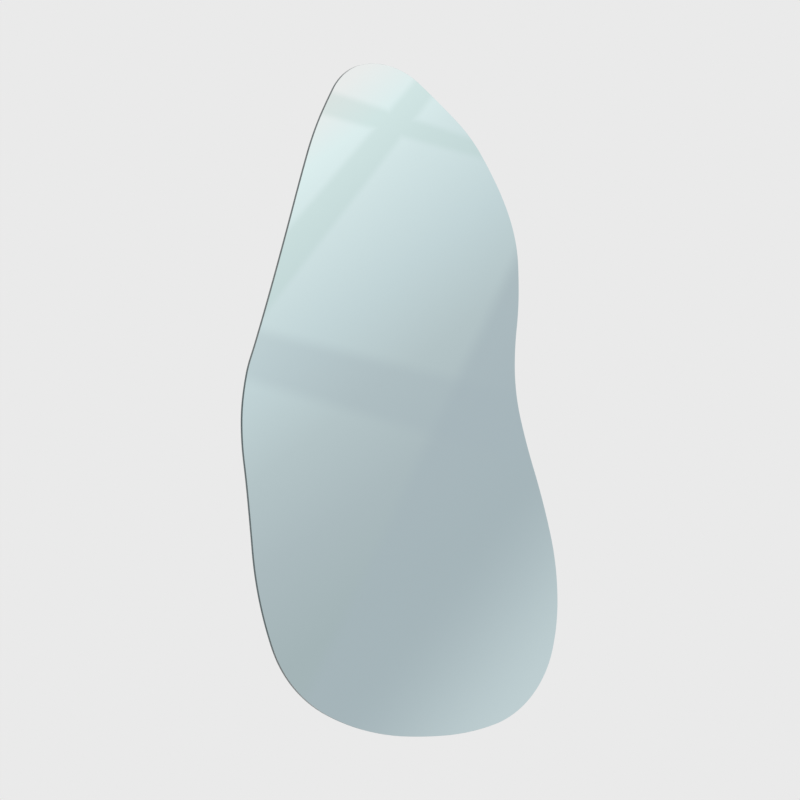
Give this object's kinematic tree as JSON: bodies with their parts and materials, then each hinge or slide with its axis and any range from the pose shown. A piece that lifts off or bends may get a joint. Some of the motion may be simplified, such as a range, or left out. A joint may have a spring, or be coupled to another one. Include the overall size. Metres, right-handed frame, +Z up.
{
  "type": "lighted wall mirror",
  "caption": "Frameless free-form wall mirror with a hidden back-light channel, driver, rear rocker switch, hanging cleats and screw-out wall spacers.",
  "frame": {"origin": "midway between the wall cleat's two screw holes, on the wall plane", "axes": "+Z up the wall, +Y into the wall, +X to the right of someone who faces the mirror; the glass faces -Y"},
  "size_m": [0.4991, 0.04, 0.9007],
  "materials": {
    "mirror": "silvered float glass, polished edge with a small arris",
    "film": "grey safety film over the mirror's back paint",
    "foam_tape": "black double-sided foam tape",
    "anodised": "satin natural anodised extrusion",
    "mill_aluminium": "mill finish extrusion",
    "zinc_sheet": "galvanised sheet with a fine spangle",
    "zinc_screw": "bright zinc plated steel",
    "black_plastic": "fine-textured moulded nylon",
    "black_gloss": "polished moulded nylon",
    "white_plastic": "fine-textured moulded polycarbonate",
    "grey_plastic": "fine-textured moulded ABS",
    "yellow_plastic": "moulded film capacitor case",
    "opal": "extruded opal acrylic, satin",
    "tape_white": "white solder mask on flexible strip",
    "phosphor": "phosphor under clear resin",
    "board_green": "green solder mask",
    "ferrite": "sintered ferrite core with a taped coil",
    "can_sleeve": "shrink-sleeved aluminium can",
    "tinned_brass": "tin plated brass",
    "white_lead": "PVC sheath",
    "black_lead": "PVC sheath",
    "earth_green": "green and yellow PVC insulation",
    "rubber": "moulded rubber"
  },
  "bodies": {
    "wall_mount": {"wall_cleat": "mill_aluminium"},
    "mirror_unit": {"mirror_glass": "mirror", "safety_film": "film", "bonding_tape": "foam_tape", "rail_left": "anodised", "rail_right": "anodised", "top_splice": "zinc_sheet", "channel_end_caps": "black_plastic", "diffuser": "opal", "led_tape": "tape_white", "led_chips": "phosphor", "tape_connector": "white_plastic", "hanger_bar": "zinc_sheet", "middle_bar": "zinc_sheet", "lower_bar": "zinc_sheet", "bar_screws": "zinc_screw", "splice_screws": "zinc_screw", "mirror_cleat": "mill_aluminium", "cleat_rivets": "mill_aluminium", "rivet_nuts": "zinc_screw", "gear_tray": "zinc_sheet", "tray_screws": "zinc_screw", "driver_base": "white_plastic", "driver_lid": "white_plastic", "driver_board": "board_green", "driver_transformer": "ferrite", "driver_capacitors": "can_sleeve", "driver_filter": "yellow_plastic", "driver_ports": "grey_plastic", "terminal_box_base": "grey_plastic", "terminal_box_lid": "grey_plastic", "box_lid_screws": "zinc_screw", "gear_screws": "zinc_screw", "terminal_block": "white_plastic", "terminal_screws": "zinc_screw", "gland_body": "black_plastic", "gland_nut": "black_plastic", "earth_stud": "zinc_screw", "earth_tag": "tinned_brass", "earth_nut": "tinned_brass", "switch_plate": "zinc_sheet", "plate_screws": "zinc_screw", "rocker_housing": "black_plastic", "switch_blades": "tinned_brass", "switch_socket": "white_plastic", "mains_lead": "white_lead", "switch_lead": "white_lead", "led_lead": "black_lead", "earth_lead": "earth_green", "cable_clips": "black_plastic"},
    "switch_rocker": {"rocker": "black_gloss"},
    "left_foot": {"spacer_foot_left": "rubber"},
    "left_thumbscrew": {"spacer_screw_left": "zinc_screw"},
    "right_foot": {"spacer_foot_right": "rubber"},
    "right_thumbscrew": {"spacer_screw_right": "zinc_screw"}
  },
  "joints": [
    {"name": "hang_lift", "type": "slide", "parent": "wall_mount", "child": "mirror_unit", "axis": [0, 0, 1], "range_m": [0, 0.015]},
    {"name": "rocker_tilt", "type": "hinge", "parent": "mirror_unit", "child": "switch_rocker", "pos_m": [0.068, -0.0227, -0.663], "axis": [0, 1, 0], "range_deg": [0, 20]},
    {"name": "left_foot_travel", "type": "slide", "parent": "mirror_unit", "child": "left_foot", "axis": [0, 1, 0], "range_m": [-0.0015, 0.006]},
    {"name": "left_thumbscrew_turn", "type": "hinge", "parent": "left_foot", "child": "left_thumbscrew", "pos_m": [-0.116, 0, -0.585], "axis": [0, 1, 0], "range_deg": [-540, 2160]},
    {"name": "right_foot_travel", "type": "slide", "parent": "mirror_unit", "child": "right_foot", "axis": [0, 1, 0], "range_m": [-0.0015, 0.006]},
    {"name": "right_thumbscrew_turn", "type": "hinge", "parent": "right_foot", "child": "right_thumbscrew", "pos_m": [0.182, 0, -0.585], "axis": [0, 1, 0], "range_deg": [-540, 2160]}
  ],
  "couplings": [
    {"joint": "left_thumbscrew_turn", "follows": "left_foot_travel", "rad_per_m": 6283.2},
    {"joint": "right_thumbscrew_turn", "follows": "right_foot_travel", "rad_per_m": 6283.2}
  ]
}
